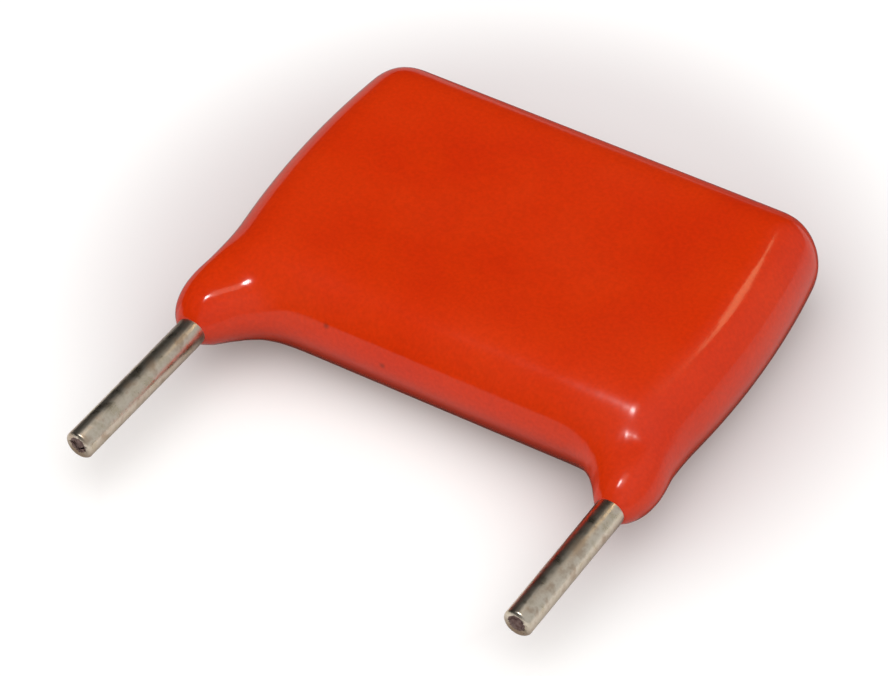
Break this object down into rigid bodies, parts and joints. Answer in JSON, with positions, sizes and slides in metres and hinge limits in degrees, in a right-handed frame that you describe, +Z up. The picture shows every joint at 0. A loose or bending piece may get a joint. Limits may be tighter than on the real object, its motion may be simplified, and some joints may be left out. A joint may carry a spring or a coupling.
{
  "type": "polyester film capacitor",
  "caption": "Flat pillow-shaped dipped film capacitor with rounded edges, drawn-out front corners and parallel round wire leads, lying on its side.",
  "frame": {"origin": "centre of the coated body's flat lower face", "axes": "+X along the lead pitch from the left lead to the right one, the leads point along -Y, +Z up out of the upper flat face"},
  "size_m": [0.0114, 0.0125, 0.0025],
  "materials": {
    "epoxy": "dipped and cured epoxy resin, glossy, opaque orange-red",
    "metallised_film": "polyester film with a vacuum-evaporated metal layer, wound and pressed",
    "plain_film": "clear polyester film",
    "zinc_spray": "flame-sprayed zinc, rough and matt",
    "weld_metal": "melted tin and zinc, satin",
    "tinned_wire": "dull tinned copper wire with fine drawing lines"
  },
  "bodies": {
    "root": {"epoxy_coating": "epoxy", "film_winding": "metallised_film", "cover_film_turns": "plain_film", "end_spray_left": "zinc_spray", "end_spray_right": "zinc_spray", "weld_left": "weld_metal", "weld_right": "weld_metal", "lead_left": "tinned_wire", "lead_right": "tinned_wire"}
  },
  "joints": []
}
